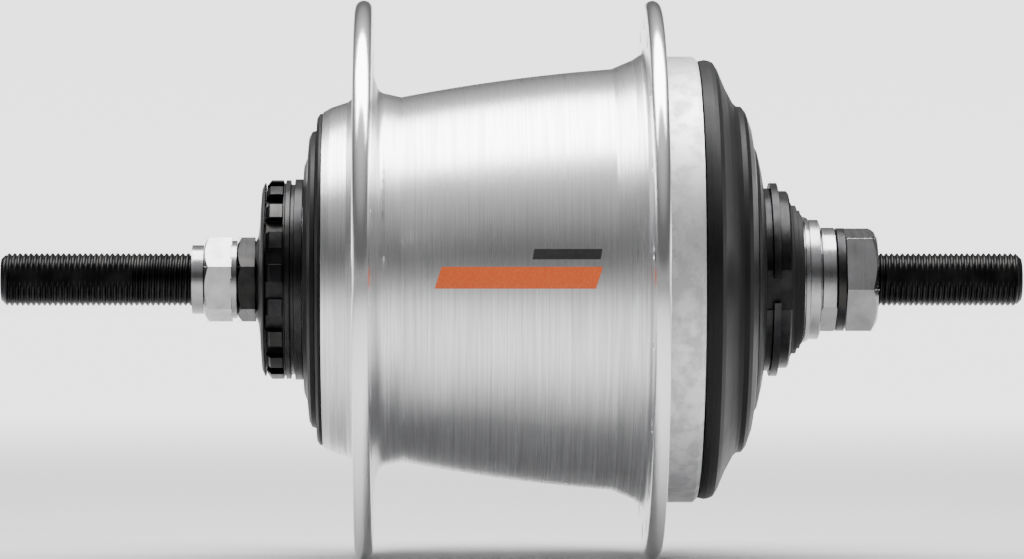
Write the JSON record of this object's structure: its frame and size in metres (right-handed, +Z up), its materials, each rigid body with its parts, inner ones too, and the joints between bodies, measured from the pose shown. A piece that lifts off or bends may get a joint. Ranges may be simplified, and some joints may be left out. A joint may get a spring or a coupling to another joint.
{
  "type": "bicycle hub gear",
  "caption": "Internal-gear bicycle hub: drilled-flange shell on a threaded axle, sprocket driver at one end, splined brake fitting at the other, planetary gears inside.",
  "frame": {"origin": "middle of the axle's length, on the axle's centreline", "axes": "+Y along the axle away from the sprocket side, toward the brake side; +Z up; X across"},
  "size_m": [0.1006, 0.184, 0.1006],
  "materials": {
    "black_steel": "black oxide, semi-gloss",
    "dark_steel": "dark phosphate",
    "bright_steel": "zinc plated, satin",
    "driver_steel": "case hardened, ground",
    "hard_steel": "hardened and ground",
    "gear_steel": "hardened gear steel, oiled",
    "carrier_steel": "sintered steel",
    "cage_steel": "pressed sheet steel",
    "spring_steel": "drawn spring wire",
    "shell_aluminium": "turned, polished flanges, satin barrel",
    "black_plastic": "semi-gloss moulded",
    "cage_plastic": "moulded nylon",
    "seal_rubber": "moulded lip seal"
  },
  "bodies": {
    "axle_group": {"axle": "black_steel", "left_spacer": "bright_steel", "left_locknut": "bright_steel", "left_cone": "black_steel", "left_dust_cap": "black_plastic", "thrust_washer": "hard_steel", "right_cone": "bright_steel", "right_locknut": "bright_steel", "pawl_b3": "hard_steel", "pawl_b2": "hard_steel", "pawl_springs": "spring_steel", "sun_b4_gear": "gear_steel", "sun_a_gear": "gear_steel"},
    "hub_shell_group": {"hub_shell": "shell_aluminium", "brake_spline_ring": "dark_steel", "left_dust_ring": "black_plastic", "left_seal_ring": "black_plastic", "right_ball_cup": "hard_steel", "ring_gear_b": "gear_steel", "clutch_rollers": "hard_steel", "roller_cage": "cage_plastic"},
    "driver_group": {"driver": "driver_steel", "right_dust_cap": "black_plastic", "driver_cap": "black_plastic", "sprocket_snap_ring": "dark_steel", "driver_seal": "seal_rubber", "ring_gear_a": "gear_steel", "clutch_spring": "spring_steel"},
    "carrier_group": {"carrier_left_plate": "carrier_steel", "carrier_centre_plate": "carrier_steel", "carrier_right_plate": "carrier_steel", "planet_pins_a": "hard_steel", "planet_pins_b": "hard_steel"},
    "sun_b3_group": {"sun_b3_gear": "gear_steel"},
    "sun_b2_group": {"sun_b2_gear": "gear_steel"},
    "left_bearing_group": {"left_balls": "hard_steel", "left_ball_cage": "cage_steel"},
    "outer_bearing_group": {"outer_balls": "hard_steel", "outer_ball_cage": "cage_steel"},
    "inner_bearing_group": {"inner_balls": "hard_steel", "inner_ball_cage": "cage_steel"},
    "selector_group": {"selector_sleeve": "hard_steel", "selector_ring": "dark_steel"},
    "pawl_b4_group": {"pawl_b4": "hard_steel"},
    "pawl_a_group": {"pawl_a": "hard_steel"},
    "clutch_group": {"clutch_slider": "gear_steel"},
    "planet_a_1_group": {"planet_a_1": "gear_steel"},
    "planet_b_1_group": {"planet_b_1": "gear_steel"},
    "planet_a_2_group": {"planet_a_2": "gear_steel"},
    "planet_b_2_group": {"planet_b_2": "gear_steel"},
    "planet_a_3_group": {"planet_a_3": "gear_steel"},
    "planet_b_3_group": {"planet_b_3": "gear_steel"}
  },
  "joints": [
    {"name": "hub_shell_spin", "type": "hinge", "parent": "axle_group", "child": "hub_shell_group", "pos_m": [0, 0, 0], "axis": [0, 1, 0], "continuous": true},
    {"name": "driver_spin", "type": "hinge", "parent": "axle_group", "child": "driver_group", "pos_m": [0, -0.03, 0], "axis": [0, 1, 0], "continuous": true},
    {"name": "carrier_spin", "type": "hinge", "parent": "axle_group", "child": "carrier_group", "pos_m": [0, 0.0075, 0], "axis": [0, 1, 0], "continuous": true},
    {"name": "planet_a_1_spin", "type": "hinge", "parent": "carrier_group", "child": "planet_a_1_group", "pos_m": [0.00926, 0, 0.01604], "axis": [0, 1, 0], "continuous": true},
    {"name": "planet_a_2_spin", "type": "hinge", "parent": "carrier_group", "child": "planet_a_2_group", "pos_m": [-0.01852, 0, 0], "axis": [0, 1, 0], "continuous": true},
    {"name": "planet_a_3_spin", "type": "hinge", "parent": "carrier_group", "child": "planet_a_3_group", "pos_m": [0.00926, 0, -0.01604], "axis": [0, 1, 0], "continuous": true},
    {"name": "planet_b_1_spin", "type": "hinge", "parent": "carrier_group", "child": "planet_b_1_group", "pos_m": [0.01852, 0.018, 0], "axis": [0, 1, 0], "continuous": true},
    {"name": "planet_b_2_spin", "type": "hinge", "parent": "carrier_group", "child": "planet_b_2_group", "pos_m": [-0.00926, 0.018, 0.01604], "axis": [0, 1, 0], "continuous": true},
    {"name": "planet_b_3_spin", "type": "hinge", "parent": "carrier_group", "child": "planet_b_3_group", "pos_m": [-0.00926, 0.018, -0.01604], "axis": [0, 1, 0], "continuous": true},
    {"name": "sun_b3_spin", "type": "hinge", "parent": "axle_group", "child": "sun_b3_group", "pos_m": [0, 0.0185, 0], "axis": [0, 1, 0], "continuous": true},
    {"name": "sun_b2_spin", "type": "hinge", "parent": "axle_group", "child": "sun_b2_group", "pos_m": [0, 0.01225, 0], "axis": [0, 1, 0], "continuous": true},
    {"name": "left_bearing_spin", "type": "hinge", "parent": "axle_group", "child": "left_bearing_group", "pos_m": [0, 0.0385, 0], "axis": [0, 1, 0], "continuous": true},
    {"name": "outer_bearing_spin", "type": "hinge", "parent": "axle_group", "child": "outer_bearing_group", "pos_m": [0, -0.0305, 0], "axis": [0, 1, 0], "continuous": true},
    {"name": "inner_bearing_spin", "type": "hinge", "parent": "axle_group", "child": "inner_bearing_group", "pos_m": [0, -0.0468, 0], "axis": [0, 1, 0], "continuous": true},
    {"name": "gear_select", "type": "hinge", "parent": "axle_group", "child": "selector_group", "pos_m": [0, -0.0591, 0], "axis": [0, -1, 0], "range_deg": [-45, 60]},
    {"name": "pawl_b4_rock", "type": "hinge", "parent": "axle_group", "child": "pawl_b4_group", "pos_m": [-0.0016, 0.02475, 0.0034], "axis": [0, 1, 0], "range_deg": [0, 14]},
    {"name": "pawl_a_rock", "type": "hinge", "parent": "axle_group", "child": "pawl_a_group", "pos_m": [0.0034, 0.00275, 0.0016], "axis": [0, 1, 0], "range_deg": [0, 14]},
    {"name": "clutch_slide", "type": "slide", "parent": "driver_group", "child": "clutch_group", "axis": [0, 1, 0], "range_m": [0, 0.0014]}
  ],
  "couplings": [
    {"joint": "driver_spin", "follows": "hub_shell_spin", "ratio": 1.1571},
    {"joint": "carrier_spin", "follows": "hub_shell_spin", "ratio": 0.60902},
    {"joint": "planet_a_1_spin", "follows": "hub_shell_spin", "ratio": 1.7053},
    {"joint": "planet_a_2_spin", "follows": "hub_shell_spin", "ratio": 1.7053},
    {"joint": "planet_a_3_spin", "follows": "hub_shell_spin", "ratio": 1.7053},
    {"joint": "planet_b_1_spin", "follows": "hub_shell_spin", "ratio": 1.3195},
    {"joint": "planet_b_2_spin", "follows": "hub_shell_spin", "ratio": 1.3195},
    {"joint": "planet_b_3_spin", "follows": "hub_shell_spin", "ratio": 1.3195},
    {"joint": "sun_b3_spin", "follows": "hub_shell_spin", "ratio": -0.35065},
    {"joint": "sun_b2_spin", "follows": "hub_shell_spin", "ratio": -1.2054},
    {"joint": "left_bearing_spin", "follows": "hub_shell_spin", "ratio": 0.57447},
    {"joint": "outer_bearing_spin", "follows": "hub_shell_spin", "ratio": 1.0743},
    {"joint": "inner_bearing_spin", "follows": "hub_shell_spin", "ratio": 0.66398}
  ]
}
